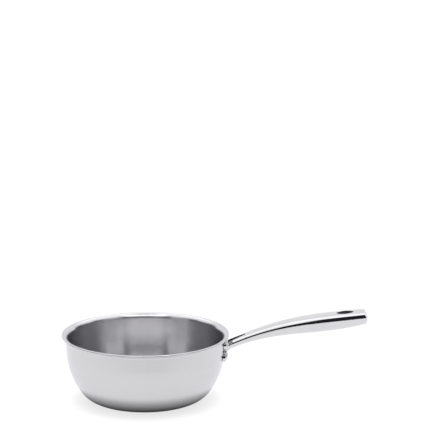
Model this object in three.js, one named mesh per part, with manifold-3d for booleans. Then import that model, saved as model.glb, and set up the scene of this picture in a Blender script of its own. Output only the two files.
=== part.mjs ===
// A deep round-sided steel pan with a long hollow handle.
// Millimetres, +Z up. The origin is the centre of the flat underside, and the handle runs along +X.
import * as THREE from "three";
import { mergeVertices } from "three/addons/utils/BufferGeometryUtils.js";
import Module from "manifold-3d";

// Bowl, measured on the outside of the sheet
const WALL_RADIUS = 98.7; // at the top of the straight wall
const WALL_STRAIGHT = 15; // slant length of the straight wall
const WALL_LEAN = 2.6; // degrees outward from upright
const SIDE_RADIUS = 91; // large arc of the rounded side
const CORNER_RADIUS = 31; // tighter arc between base and side
const CORNER_TURN = 54; // degrees turned by the corner arc
const FLARE_RADIUS = 4; // underside of the pouring lip
const LIP_RISE = 8; // degrees that the lip rises outward
const LIP_LENGTH = 1.9; // straight end of the lip

// Sheet, three plies rolled together, from the outside in
const INDUCTION_SKIN = 0.5;
const CORE = 1.5;
const COOKING_SKIN = 0.5;
const BOND_GAP = 0.02;

// Foot of the handle, a curved plate that is riveted to the wall
const FOOT_GAP = 0.3; // between the plate and the wall
const FOOT_THICKNESS = 3.5;
const FOOT_BELOW_RIM = 8.5; // from the top of the lip to the top of the plate
const FOOT_HEIGHT = 24;
const FOOT_TOP_WIDTH = 38;
const FOOT_NECK_WIDTH = 30;
const FOOT_LOBE_WIDTH = 43;
const FOOT_CORNER = 4.5;

// Rivets
const RIVET_FROM_FOOT_EDGE = 8.5; // in from each side of the lobe
const RIVET_ABOVE_FOOT_END = 6.5;
const RIVET_SHANK_RADIUS = 2.6;
const RIVET_CLEARANCE = 0.3;
const RIVET_SEAT_GAP = 0.3;
const RIVET_HEAD_RADIUS = 5.6;
const RIVET_HEAD_HEIGHT = 2;
const RIVET_TAIL_RADIUS = 4.2;
const RIVET_TAIL_HEIGHT = 1.3;

// Handle, whose sections stand square to a curved spine along the shoulders
const HANDLE_BELOW_RIM = 15.5; // from the top of the lip to the spine's root
const HANDLE_REACH = 172; // from the root to the end, along X
const HANDLE_RISE = 37;
const ROOT_SLOPE = 24; // degrees
const END_SLOPE = 5.7; // degrees
const ROOT_TANGENT = 66; // length of the spine's first control leg
const END_TANGENT = 75; // length of its last control leg
const PALM_FROM_END = 51; // where the handle is widest and deepest
const SHANK_WIDTH = 21;
const SHANK_CROWN = 4.1; // above the shoulders
const SHANK_BELLY = 5.6; // below the shoulders
const PALM_WIDTH = 35;
const PALM_CROWN = 6.4;
const PALM_BELLY = 14.2;
const END_WIDTH = 32;
const END_CROWN = 6;
const END_BELLY = 10;
const CROWN_POWER = 3; // of the superellipse, flatter than an ellipse
const BELLY_POWER = 2.2;
const END_ROUND = 2.6;

// Inside of the handle
const SHANK_LENGTH = 25; // solid, up to the hollow grip
const GROOVE_ROOT_RADIUS = 5;
const GROOVE_END_RADIUS = 1.8;
const SHELL_THICKNESS = 1.2;
const SEAM_GAP = 0.1; // between the two shells, and between them and the shank
const TANG_LENGTH = 20;
const TANG_CLEARANCE = 0.3;

// Hanging hole
const HOLE_FROM_END = 26;
const HOLE_LENGTH = 21;
const HOLE_WIDTH = 14;
const EYELET_WALL = 1.2;
const EYELET_CLEARANCE = 0.25;

// Facets
const LATHE_SIDES = 44;
const CORNER_STEPS = 4;
const SIDE_STEPS = 4;
const FLARE_STEPS = 3;
const CROWN_POINTS = 9;
const BELLY_POINTS = 11;
const STATIONS = 14;
const END_STATIONS = 3;
const HOLE_STEPS = 10; // per half turn
const GROOVE_SIDES = 16;
const RIVET_SIDES = 14;
const DOME_STEPS = 3;

const wasm = await Module();
wasm.setup();
const rad = THREE.MathUtils.degToRad;
const lerp = THREE.MathUtils.lerp;
const SHEET = INDUCTION_SKIN + CORE + COOKING_SKIN + 2 * BOND_GAP;
const WALL_TURN = Math.PI / 2 - rad(WALL_LEAN);

// A closed geometry as a solid that can be joined and cut.
function solidOf(geometry) {
  const bare = geometry.clone();
  const extras = Object.keys(bare.attributes).filter((name) => name !== "position");
  extras.forEach((name) => bare.deleteAttribute(name));
  const merged = mergeVertices(bare, 1e-5);
  const corners = merged.index.array;
  const triVerts = [];
  for (let i = 0; i < corners.length; i += 3) {
    const [a, b, c] = corners.slice(i, i + 3);
    if (a !== b && b !== c && c !== a) triVerts.push(a, b, c);
  }
  return new wasm.Manifold(
    new wasm.Mesh({
      numProp: 3,
      vertProperties: merged.attributes.position.array,
      triVerts: new Uint32Array(triVerts),
    }),
  );
}

// A solid as a named mesh.
function piece(name, solid, color, roughness, metalness = 1) {
  const { vertProperties, triVerts } = solid.getMesh();
  const geometry = new THREE.BufferGeometry();
  geometry.setAttribute("position", new THREE.BufferAttribute(vertProperties, 3));
  geometry.setIndex(new THREE.BufferAttribute(triVerts, 1));
  geometry.computeVertexNormals();
  const mesh = new THREE.Mesh(geometry, new THREE.MeshStandardMaterial({ color, roughness, metalness }));
  mesh.name = name;
  return mesh;
}

// A solid turned round +Z from a profile of (radius, height) points that starts and ends on the axis.
function turned(profile) {
  return solidOf(new THREE.LatheGeometry(profile, LATHE_SIDES).rotateX(Math.PI / 2));
}

// A point on an arc whose direction of travel has turned to the given angle; inside is on its left.
function onArc(centre, radius, turn) {
  return new THREE.Vector2(centre.x + radius * Math.sin(turn), centre.y - radius * Math.cos(turn));
}

// Centres of the bowl's arcs, from the base outward and up
const cornerTurn = rad(CORNER_TURN);
const cornerReach = CORNER_RADIUS * Math.sin(cornerTurn);
const sideReach = SIDE_RADIUS * (Math.sin(WALL_TURN) - Math.sin(cornerTurn));
const wallReach = WALL_STRAIGHT * Math.cos(WALL_TURN);
const baseRadius = WALL_RADIUS - wallReach - sideReach - cornerReach;
const cornerCentre = new THREE.Vector2(baseRadius, CORNER_RADIUS);
const sideCentre = onArc(cornerCentre, CORNER_RADIUS - SIDE_RADIUS, cornerTurn);
const wallFoot = onArc(sideCentre, SIDE_RADIUS, WALL_TURN);
const along = (turn, length) => new THREE.Vector2(Math.cos(turn), Math.sin(turn)).multiplyScalar(length);
const wallTop = wallFoot.clone().add(along(WALL_TURN, WALL_STRAIGHT));
const flareCentre = onArc(wallTop, FLARE_RADIUS, WALL_TURN);

// Points along an arc, without its first one.
function arcPoints(centre, radius, from, to, steps) {
  return Array.from({ length: steps }, (_, i) => onArc(centre, radius, lerp(from, to, (i + 1) / steps)));
}

// The side of the bowl at a depth inside its outer face, from the axis to the top of the straight wall.
function sideCurve(depth) {
  const corner = arcPoints(cornerCentre, CORNER_RADIUS - depth, 0, cornerTurn, CORNER_STEPS);
  const side = arcPoints(sideCentre, SIDE_RADIUS - depth, cornerTurn, WALL_TURN, SIDE_STEPS);
  const top = side.at(-1).clone().add(along(WALL_TURN, WALL_STRAIGHT));
  return [new THREE.Vector2(0, depth), new THREE.Vector2(baseRadius, depth), ...corner, ...side, top];
}

// The same with the pouring lip.
function bowlCurve(depth) {
  const flare = arcPoints(flareCentre, -FLARE_RADIUS - depth, WALL_TURN, rad(LIP_RISE), FLARE_STEPS);
  const lip = flare.at(-1).clone().add(along(rad(LIP_RISE), LIP_LENGTH));
  return [...sideCurve(depth), ...flare, lip];
}

// One ply of the sheet, between two depths.
function ply(outer, thickness) {
  return turned([...bowlCurve(outer), ...bowlCurve(outer + thickness).reverse()]);
}

// Everything inside the bowl's side, grown by a margin.
function filledBowl(margin) {
  const side = sideCurve(-margin);
  return turned([...side, new THREE.Vector2(0, side.at(-1).y)]);
}

const rimHeight = bowlCurve(SHEET).at(-1).y;

// The outer face of the wall at a height: its radius and the angle its direction of travel has turned.
function wallAt(height) {
  const above = height - wallFoot.y;
  if (above >= 0) return { radius: wallFoot.x + above / Math.tan(WALL_TURN), turn: WALL_TURN };
  const turn = Math.acos((sideCentre.y - height) / SIDE_RADIUS);
  return { radius: onArc(sideCentre, SIDE_RADIUS, turn).x, turn };
}

// The handle's spine
const footTop = rimHeight - FOOT_BELOW_RIM;
const footEnd = footTop - FOOT_HEIGHT;
const rootHeight = rimHeight - HANDLE_BELOW_RIM;
const rootRadius = wallAt(rootHeight).radius + FOOT_GAP + FOOT_THICKNESS;
const slopeLeg = (degrees, length) => new THREE.Vector3(Math.cos(rad(degrees)), 0, Math.sin(rad(degrees)))
  .multiplyScalar(length);
const root = new THREE.Vector3(rootRadius, 0, rootHeight);
const tip = new THREE.Vector3(rootRadius + HANDLE_REACH, 0, rootHeight + HANDLE_RISE);
const spine = new THREE.CubicBezierCurve3(
  root,
  root.clone().add(slopeLeg(ROOT_SLOPE, ROOT_TANGENT)),
  tip.clone().sub(slopeLeg(END_SLOPE, END_TANGENT)),
  tip,
);
const spineLength = spine.getLength();
const palm = spineLength - PALM_FROM_END;

// A point of the spine and its two directions, at a distance from the root.
// The spine runs on straight past its ends.
function spineAt(distance) {
  const share = THREE.MathUtils.clamp(distance / spineLength, 0, 1);
  const tangent = spine.getTangentAt(share);
  const point = spine.getPointAt(share).addScaledVector(tangent, distance - share * spineLength);
  return { point, tangent, up: new THREE.Vector3(-tangent.z, 0, tangent.x) };
}

// A size that swells smoothly from the shank to the palm, then eases off to the end.
function swell(distance, shank, atPalm, atEnd) {
  if (distance < palm) return lerp(shank, atPalm, THREE.MathUtils.smoothstep(distance, 0, palm));
  return lerp(atPalm, atEnd, ((distance - palm) / PALM_FROM_END) ** 2);
}

// Half of a superellipse from +Y over to -Y, as (across, up) pairs.
function halfSection(halfWidth, height, power, points) {
  return Array.from({ length: points }, (_, i) => {
    const angle = (Math.PI * i) / (points - 1);
    const across = halfWidth * Math.sign(Math.cos(angle)) * Math.abs(Math.cos(angle)) ** (2 / power);
    return [i === points - 1 ? -halfWidth : across, height * Math.sin(angle) ** (2 / power)];
  });
}

// Sizes of the handle's section at a distance from the root, drawn in by an inset.
function sectionAt(distance, inset) {
  return {
    halfWidth: swell(distance, SHANK_WIDTH, PALM_WIDTH, END_WIDTH) / 2 - inset,
    crown: swell(distance, SHANK_CROWN, PALM_CROWN, END_CROWN) - inset,
    belly: swell(distance, SHANK_BELLY, PALM_BELLY, END_BELLY) - inset,
  };
}

// A closed skin over rings of points, with a fan over each end.
function skin(rings) {
  const count = rings[0].length;
  const middle = (ring) => ring.reduce((sum, p) => sum.add(p), new THREE.Vector3()).divideScalar(count);
  const points = [...rings.flat(), middle(rings[0]), middle(rings.at(-1))];
  const first = rings.length * count;
  const index = [];
  for (let i = 0; i < count; i++) {
    const next = (i + 1) % count;
    for (let k = 0; k + 1 < rings.length; k++) {
      const [a, b, c, d] = [k * count + i, k * count + next, (k + 1) * count + next, (k + 1) * count + i];
      index.push(a, b, c, a, c, d);
    }
    const last = (rings.length - 1) * count;
    index.push(first, next, i, first + 1, last + i, last + next);
  }
  return solidOf(new THREE.BufferGeometry().setFromPoints(points).setIndex(index));
}

// The handle between two distances from the root, at an inset. The part is "crown", "belly" or "whole".
// A half stops short of the shoulders by half the seam, or runs past them by a reach.
function handleBody({ from, to, inset = 0, part = "whole", past = 0, rounded = false }) {
  const plain = rounded ? to - END_ROUND : to;
  const stations = Array.from({ length: STATIONS + 1 }, (_, i) => [lerp(from, plain, i / STATIONS), inset]);
  for (let i = 1; rounded && i <= END_STATIONS; i++) {
    const angle = ((Math.PI / 2) * i) / END_STATIONS;
    stations.push([plain + END_ROUND * Math.sin(angle), inset + END_ROUND * (1 - Math.cos(angle))]);
  }
  return skin(
    stations.map(([distance, drawnIn]) => {
      const { point, up } = spineAt(distance);
      const { halfWidth, crown, belly } = sectionAt(distance, drawnIn);
      const over = halfSection(halfWidth, crown, CROWN_POWER, CROWN_POINTS);
      const under = halfSection(halfWidth, belly, BELLY_POWER, BELLY_POINTS).map(([y, z]) => [-y, -z]);
      const outline = {
        whole: [...over, ...under.slice(1, -1)],
        crown: past ? [...over, [-halfWidth, -past], [halfWidth, -past]] : over,
        belly: past ? [[halfWidth, past], [-halfWidth, past], ...under] : under,
      }[part];
      const seam = { whole: 0, crown: SEAM_GAP / 2, belly: -SEAM_GAP / 2 }[part];
      return outline.map(([y, z]) => point.clone().addScaledVector(up, z + seam).setY(y));
    }),
  );
}

// A straight bar of an outline, along the direction that its own +Z is turned to.
function bar(shape, length, matrix) {
  const settings = { depth: length, bevelEnabled: false, curveSegments: HOLE_STEPS };
  const geometry = new THREE.ExtrudeGeometry(shape, settings);
  return solidOf(geometry.translate(0, 0, -length / 2).applyMatrix4(matrix));
}

// The plies of the bowl, and the holes through them for the rivets
const rivetHeight = footEnd + RIVET_ABOVE_FOOT_END;
const rivetWall = wallAt(rivetHeight);
const rivetAcross = FOOT_LOBE_WIDTH / 2 - RIVET_FROM_FOOT_EDGE;
const rivetTurns = [1, -1].map((side) => side * Math.asin(rivetAcross / rivetWall.radius));
// A rivet's frame has +Z out along the wall's normal and its origin on the wall's outer face.
const rivetFrames = rivetTurns.map((turn) => {
  const normal = new THREE.Vector3(Math.sin(rivetWall.turn), 0, -Math.cos(rivetWall.turn));
  const sideways = new THREE.Vector3(0, 1, 0);
  return new THREE.Matrix4()
    .makeBasis(sideways.clone().cross(normal), sideways, normal)
    .setPosition(rivetWall.radius, 0, rivetHeight)
    .premultiply(new THREE.Matrix4().makeRotationZ(turn));
});
const tailSeat = FOOT_GAP + FOOT_THICKNESS;
const drillLength = 4 * (SHEET + tailSeat);
const drillShape = new THREE.Shape().absarc(0, 0, RIVET_SHANK_RADIUS + RIVET_CLEARANCE, 0, 2 * Math.PI);
const drills = rivetFrames.map((frame) => bar(drillShape, drillLength, frame));
const drilled = (solid) => drills.reduce((left, drill) => left.subtract(drill), solid);

// A rivet: a shank with a domed head in the pan and a smaller domed tail on the foot.
// Head and tail are trimmed to the curve that each seats on.
function rivet(frame) {
  const onFrame = (profile) => {
    const geometry = new THREE.LatheGeometry(profile, RIVET_SIDES).rotateX(Math.PI / 2);
    return solidOf(geometry.applyMatrix4(frame));
  };
  const dome = (radius, height, from, to) => arcPoints(new THREE.Vector2(), 1, from, to, DOME_STEPS)
    .map((point) => new THREE.Vector2(radius * point.x, height * point.y));
  const raised = (points, height) =>
    points.map((point) => new THREE.Vector2(Math.max(0, point.x), point.y + height));
  const head = onFrame([
    new THREE.Vector2(0, -SHEET - RIVET_HEAD_HEIGHT),
    ...raised(dome(RIVET_HEAD_RADIUS, RIVET_HEAD_HEIGHT, 0, Math.PI / 2), -SHEET),
    new THREE.Vector2(0, -SHEET),
  ]);
  const tail = onFrame([
    new THREE.Vector2(0, FOOT_GAP),
    new THREE.Vector2(RIVET_TAIL_RADIUS, FOOT_GAP),
    new THREE.Vector2(RIVET_TAIL_RADIUS, tailSeat),
    ...raised(dome(RIVET_TAIL_RADIUS, RIVET_TAIL_HEIGHT, Math.PI / 2, Math.PI), tailSeat),
  ]);
  const shank = onFrame([
    new THREE.Vector2(0, -SHEET - RIVET_HEAD_HEIGHT / 2),
    new THREE.Vector2(RIVET_SHANK_RADIUS, -SHEET - RIVET_HEAD_HEIGHT / 2),
    new THREE.Vector2(RIVET_SHANK_RADIUS, tailSeat + RIVET_TAIL_HEIGHT / 2),
    new THREE.Vector2(0, tailSeat + RIVET_TAIL_HEIGHT / 2),
  ]);
  const seatedHead = head.intersect(filledBowl(-SHEET - RIVET_SEAT_GAP));
  const seatedTail = tail.subtract(filledBowl(tailSeat + RIVET_SEAT_GAP));
  return shank.add(seatedHead).add(seatedTail);
}

// The foot's outline across the wall: an hourglass, seen along -X as (y, z).
function footOutline() {
  const [top, neck, lobe] = [FOOT_TOP_WIDTH / 2, FOOT_NECK_WIDTH / 2, FOOT_LOBE_WIDTH / 2];
  const waist = footEnd + 2 * RIVET_ABOVE_FOOT_END;
  const half = new THREE.Path();
  half.moveTo(0, footEnd);
  half.lineTo(lobe - FOOT_CORNER, footEnd);
  half.quadraticCurveTo(lobe, footEnd, lobe, footEnd + FOOT_CORNER);
  half.bezierCurveTo(lobe, rivetHeight + FOOT_CORNER, neck, rivetHeight + FOOT_CORNER / 2, neck, waist);
  half.bezierCurveTo(neck, waist + FOOT_CORNER / 2, top, waist, top, footTop - FOOT_CORNER);
  half.quadraticCurveTo(top, footTop, top - FOOT_CORNER, footTop);
  half.lineTo(0, footTop);
  const right = half.getPoints(5);
  const left = right.slice(1, -1).map((p) => new THREE.Vector2(-p.x, p.y)).reverse();
  return new THREE.Shape([...right, ...left]);
}

// The cast foot: plate, grooved shank and the tang that the grip sits on.
function handleFoot() {
  const acrossWall = new THREE.Matrix4().makeBasis(
    new THREE.Vector3(0, 1, 0),
    new THREE.Vector3(0, 0, 1),
    new THREE.Vector3(1, 0, 0),
  ).setPosition(wallTop.x, 0, 0);
  const plate = bar(footOutline(), wallTop.x, acrossWall).intersect(filledBowl(FOOT_GAP + FOOT_THICKNESS));
  const shank = handleBody({ from: -2 * FOOT_THICKNESS, to: SHANK_LENGTH });
  const tang = handleBody({
    from: SHANK_LENGTH - FOOT_THICKNESS,
    to: SHANK_LENGTH + TANG_LENGTH,
    inset: SHELL_THICKNESS + TANG_CLEARANCE,
  });
  return drilled(plate.add(shank).add(tang).subtract(groove()).subtract(filledBowl(FOOT_GAP)));
}

// A tapering groove along the top of the shank, up to the front edge of the grip.
function groove() {
  const top = (distance) => {
    const { point, up } = spineAt(distance);
    return point.clone().addScaledVector(up, sectionAt(distance, 0).crown);
  };
  const [start, end] = [top(0), top(SHANK_LENGTH)];
  const way = end.clone().sub(start);
  const length = way.length();
  const cone = new THREE.CylinderGeometry(GROOVE_END_RADIUS, GROOVE_ROOT_RADIUS, length, GROOVE_SIDES);
  const turn = new THREE.Quaternion().setFromUnitVectors(new THREE.Vector3(0, 1, 0), way.normalize());
  return solidOf(cone.applyQuaternion(turn).translate(...start.add(end).divideScalar(2).toArray()));
}

// The hanging hole, grown by a margin, right through the handle
const holeSpot = spineAt(spineLength - HOLE_FROM_END);
const holeFrame = new THREE.Matrix4()
  .makeBasis(holeSpot.tangent, new THREE.Vector3(0, 1, 0), holeSpot.up)
  .setPosition(holeSpot.point);
function holeBar(margin) {
  const shape = new THREE.Shape();
  shape.absellipse(0, 0, HOLE_LENGTH / 2 + margin, HOLE_WIDTH / 2 + margin, 0, 2 * Math.PI);
  return bar(shape, 4 * PALM_BELLY, holeFrame);
}

// One half of the hollow grip, open at the shank and at the seam.
function gripShell(part) {
  const start = SHANK_LENGTH + SEAM_GAP;
  const outside = handleBody({ from: start, to: spineLength, part, rounded: true });
  const hollow = handleBody({
    from: start - SHELL_THICKNESS,
    to: spineLength - SHELL_THICKNESS,
    inset: SHELL_THICKNESS,
    part,
    past: SHELL_THICKNESS,
    rounded: true,
  });
  return outside.subtract(hollow).subtract(holeBar(EYELET_WALL + EYELET_CLEARANCE));
}

// The sleeve that lines the hanging hole, flush with both faces of the grip.
function hangingEyelet() {
  const whole = handleBody({ from: SHANK_LENGTH, to: spineLength, rounded: true });
  return holeBar(EYELET_WALL).subtract(holeBar(0)).intersect(whole);
}

const BRUSHED = 0.38;
const POLISHED = 0.12;
const STEEL = 0xc6c7ca;
const ALUMINIUM = 0xd2d3d4;
const pan = new THREE.Group();
const coreDepth = INDUCTION_SKIN + BOND_GAP;
pan.add(
  piece("induction_skin", drilled(ply(0, INDUCTION_SKIN)), STEEL, BRUSHED),
  piece("aluminium_core", drilled(ply(coreDepth, CORE)), ALUMINIUM, BRUSHED),
  piece("cooking_skin", drilled(ply(coreDepth + CORE + BOND_GAP, COOKING_SKIN)), STEEL, BRUSHED),
  piece("handle_foot", handleFoot(), STEEL, POLISHED),
  piece("handle_upper_shell", gripShell("crown"), STEEL, POLISHED),
  piece("handle_lower_shell", gripShell("belly"), STEEL, POLISHED),
  piece("hanging_eyelet", hangingEyelet(), STEEL, POLISHED),
  piece("rivet_left", rivet(rivetFrames[0]), STEEL, POLISHED),
  piece("rivet_right", rivet(rivetFrames[1]), STEEL, POLISHED),
);

export default pan;
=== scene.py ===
"""Looks of a deep round-sided steel pan: clad bowl, cast foot, hollow grip, hole sleeve and two rivets."""
import logging
import math
from dataclasses import dataclass, field
from enum import Enum

import bmesh
import bpy
import numpy as np
from mathutils import Matrix, Vector


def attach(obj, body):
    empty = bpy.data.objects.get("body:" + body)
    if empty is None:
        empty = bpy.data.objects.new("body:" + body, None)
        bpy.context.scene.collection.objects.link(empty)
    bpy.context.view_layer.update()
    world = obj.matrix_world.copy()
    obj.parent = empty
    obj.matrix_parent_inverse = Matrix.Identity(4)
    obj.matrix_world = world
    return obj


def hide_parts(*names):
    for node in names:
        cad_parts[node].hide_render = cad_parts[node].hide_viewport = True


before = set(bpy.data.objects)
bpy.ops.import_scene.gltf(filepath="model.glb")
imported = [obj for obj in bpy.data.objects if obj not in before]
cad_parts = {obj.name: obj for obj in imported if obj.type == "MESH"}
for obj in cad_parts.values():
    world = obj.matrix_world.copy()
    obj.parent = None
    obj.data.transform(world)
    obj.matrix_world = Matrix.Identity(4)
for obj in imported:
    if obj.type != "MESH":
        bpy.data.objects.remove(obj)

log = logging.getLogger("pan")
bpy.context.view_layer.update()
BODY = "root"
HANDLE_BELOW_RIM = 0.0155
HANDLE_SEAT = 0.0038
STEEL_TINT = (0.978, 0.972, 1.0)
MERGE_DISTANCE = 1e-7
SLIVER_LENGTH = 1e-8
SMALLEST_AREA = 1e-20


class Slot(Enum):
    """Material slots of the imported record."""

    OUTER = "outer_steel"
    CORE = "core_aluminium"
    INNER = "inner_steel"
    POLISHED = "polished_steel"
    RIVET = "rivet_steel"


class Half(Enum):
    """The halves of the grip: which way each bulges from the shoulders, and its superellipse power."""

    CROWN = (1, 3.0)
    BELLY = (-1, 2.2)

    @property
    def sign(self) -> int:
        """+1 above the shoulders, -1 below."""
        return self.value[0]

    @property
    def power(self) -> float:
        """Power of the superellipse; 2 is an ellipse, and more is flatter."""
        return self.value[1]


def direction(angle: float) -> np.ndarray:
    """The unit step (cos angle, sin angle)."""
    return np.array([math.cos(angle), math.sin(angle)])


def bezier(t: np.ndarray, *legs: object) -> np.ndarray:
    """A Bezier curve: neighbouring legs are mixed as (1 - t) * one + t * next until one point is left.

    Args:
        t: Curve parameter from 0 to 1, with a last axis of one.
        legs: Control points, first to last.

    Returns:
        Array of points.
    """
    points = [np.asarray(leg) for leg in legs]
    while len(points) > 1:
        points = [(1 - t) * one + t * other for one, other in zip(points, points[1:])]
    return points[0]


def arc(centre: tuple[float, float], radius: float, start: float, end: float, steps: int) -> np.ndarray:
    """Points on an arc whose direction of travel turns evenly from start to end, inside on its left.

    The point is centre + radius * (sin turn, -cos turn).

    Args:
        centre: Centre of the arc.
        radius: Its radius; a negative one bends the other way.
        start: First turn of the direction of travel, in radians.
        end: Last turn.
        steps: Number of steps.

    Returns:
        Array of steps + 1 points.
    """
    turn = np.linspace(start, end, steps + 1)
    return np.stack([centre[0] + radius * np.sin(turn), centre[1] - radius * np.cos(turn)], -1)


def superellipse(
    turn: np.ndarray, half_width: np.ndarray, height: np.ndarray, power: float
) -> np.ndarray:
    """Points of |across / half_width| ** power + |up / height| ** power = 1 by the angle of the normal.

    A point whose normal leans by the turn has across in proportion to half_width * (half_width * cos) **
    (1 / (power - 1)), and up likewise with the height and the sine; both are scaled onto the curve.

    Args:
        turn: Angle of the outward normal from the across axis, in radians.
        half_width: Half of the width.
        height: Height above the shoulders.
        power: Power of the curve.

    Returns:
        Array with (across, up) on its last axis.
    """
    root = 1 / (power - 1)
    along = np.abs(half_width * np.cos(turn))
    above = np.abs(height * np.sin(turn))
    size = (along ** (power * root) + above ** (power * root)) ** (1 / power)
    across = half_width * np.sign(np.cos(turn)) * along**root / size
    up = height * np.sign(np.sin(turn)) * above**root / size
    return np.stack([across, up], -1)


def grid_faces(
    rows: int, columns: int, wrap_rows: bool = False, wrap_columns: bool = False
) -> np.ndarray:
    """Corner numbers of the four-sided faces of a grid whose points are numbered row by row.

    Args:
        rows: Number of rows of points.
        columns: Number of columns of points.
        wrap_rows: Whether the last row joins the first.
        wrap_columns: Whether the last column joins the first.

    Returns:
        Array of (rows of faces, columns of faces, 4).
    """
    row = np.arange(rows if wrap_rows else rows - 1)[:, None]
    column = np.arange(columns if wrap_columns else columns - 1)[None, :]
    next_row = (row + 1) % rows
    next_column = (column + 1) % columns
    corners = [
        row * columns + column,
        row * columns + next_column,
        next_row * columns + next_column,
        next_row * columns + column,
    ]
    return np.stack(corners, -1)


def lathe(profile: np.ndarray, sides: int) -> tuple[np.ndarray, np.ndarray]:
    """A profile carried round +Z: x = radius * cos, y = radius * sin, z = height.

    Args:
        profile: Array of (radius, height) points; those on the axis become poles.
        sides: Steps round the axis.

    Returns:
        Points and faces.
    """
    angle = np.linspace(0, 2 * math.pi, sides, endpoint=False)
    radius, height = profile[:, :1], profile[:, 1:]
    level = np.broadcast_to(height, (len(profile), sides))
    rings = np.stack([radius * np.cos(angle), radius * np.sin(angle), level], -1)
    faces = grid_faces(len(profile), sides, wrap_columns=True)
    return rings.reshape(-1, 3), faces.reshape(-1, 4)


def walled(points: np.ndarray, faces: np.ndarray, wall: np.ndarray) -> tuple[np.ndarray, np.ndarray]:
    """A surface with a wall: a copy set back along its normals and turned round, and strips at open edges.

    The normal at a point is the sum of the areas of the faces round it. An open edge runs one way only.

    Args:
        points: Array of points.
        faces: Array of four-sided faces that point outwards.
        wall: Thickness of the wall at each point.

    Returns:
        Points and faces.
    """
    corner = points[faces]
    area = np.cross(corner[:, 2] - corner[:, 0], corner[:, 3] - corner[:, 1])
    normal = np.zeros_like(points)
    np.add.at(normal, faces.reshape(-1), np.repeat(area, 4, axis=0))
    normal /= np.maximum(np.linalg.norm(normal, axis=-1, keepdims=True), SMALLEST_AREA)
    count = len(points)
    start, end = faces.reshape(-1), np.roll(faces, -1, axis=1).reshape(-1)
    alone = ~np.isin(start * count + end, end * count + start)
    start, end = start[alone], end[alone]
    strips = np.stack([end, start, start + count, end + count], -1)
    both = np.concatenate([points, points - normal * wall[:, None]])
    return both, np.concatenate([faces, faces[:, ::-1] + count, strips])


def add_object(name: str, data: bpy.types.ID) -> bpy.types.Object:
    """An object that holds the data, linked to the scene."""
    made = bpy.data.objects.new(name, data)
    bpy.context.scene.collection.objects.link(made)
    return made


def make_piece(
    name: str,
    points: np.ndarray,
    faces: np.ndarray,
    finish: np.ndarray | None = None,
    crease: float = 40.0,
) -> bpy.types.Object:
    """Puts points and faces into a mesh, closes its poles and seams, and turns its faces outwards.

    Args:
        name: Name of the piece.
        points: Array of points.
        faces: Array of four-sided faces.
        finish: Number of each face's material, where the piece has several.
        crease: Edges that turn more than this, in degrees, stay sharp.

    Returns:
        The object, linked to the scene.
    """
    mesh = bpy.data.meshes.new(name)
    mesh.from_pydata(points.tolist(), [], faces.tolist())
    if finish is not None:
        mesh.polygons.foreach_set("material_index", finish)
    shape = bmesh.new()
    shape.from_mesh(mesh)
    bmesh.ops.remove_doubles(shape, verts=shape.verts, dist=MERGE_DISTANCE)
    bmesh.ops.dissolve_degenerate(shape, edges=shape.edges, dist=SLIVER_LENGTH)
    bmesh.ops.recalc_face_normals(shape, faces=shape.faces)
    shape.to_mesh(mesh)
    shape.free()
    mesh.shade_smooth()
    mesh.set_sharp_from_angle(angle=math.radians(crease))
    return add_object(name, mesh)


def dress(piece: bpy.types.Object, finish: bpy.types.Material, node: str) -> None:
    """Gives a piece its finish, its body and the node it stands for, and reports it.

    Args:
        piece: The piece.
        finish: Its material.
        node: Name of the CAD node that it replaces.
    """
    piece.data.materials.append(finish)
    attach(piece, BODY)
    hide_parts(node)
    log.info("%s: %d points, stands for %s", piece.name, len(piece.data.vertices), node)


class Graph:
    """Shorthand for a node tree: makes nodes, sets or joins their inputs and returns sockets."""

    def __init__(self, tree: bpy.types.NodeTree) -> None:
        """Starts from an empty tree."""
        self.tree = tree
        tree.nodes.clear()

    def node(self, kind: str, inputs: dict | None = None, **settings: object) -> bpy.types.Node:
        """Adds a node.

        Args:
            kind: Node type without its ShaderNode prefix, or a full type name.
            inputs: Value or socket for each input, by name or number.
            settings: Properties of the node.

        Returns:
            The node.
        """
        made = self.tree.nodes.new(kind if kind.startswith("Node") else "ShaderNode" + kind)
        for name, value in settings.items():
            setattr(made, name, value)
        for key, value in (inputs or {}).items():
            if isinstance(value, bpy.types.NodeSocket):
                self.tree.links.new(value, made.inputs[key])
            else:
                made.inputs[key].default_value = value
        return made

    def math(self, operation: str, *values: object) -> bpy.types.NodeSocket:
        """The result of one sum of sockets or numbers."""
        return self.node("Math", dict(enumerate(values)), operation=operation).outputs[0]

    def ramp(
        self, value: object, low: float, high: float, to_low: object = 0.0, to_high: object = 1.0
    ) -> bpy.types.NodeSocket:
        """A value eased from one range to another, and held at both ends."""
        inputs = {"Value": value, "From Min": low, "From Max": high, "To Min": to_low, "To Max": to_high}
        return self.node("MapRange", inputs, interpolation_type="SMOOTHSTEP").outputs[0]

    def blend(self, share: object, first: object, second: object) -> bpy.types.NodeSocket:
        """Two colours mixed by a share of the second."""
        return self.node("Mix", {0: share, 6: first, 7: second}, data_type="RGBA").outputs[2]


def tinted(tone: float) -> tuple[float, float, float, float]:
    """A grey of the tone with the steel's faint tint, as an opaque colour."""
    red, green, blue = (tone * share for share in STEEL_TINT)
    return red, green, blue, 1.0


def new_material(name: str) -> tuple[bpy.types.Material, Graph]:
    """An empty material and its graph."""
    made = bpy.data.materials.new(name)
    made.use_nodes = True
    return made, Graph(made.node_tree)


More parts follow.
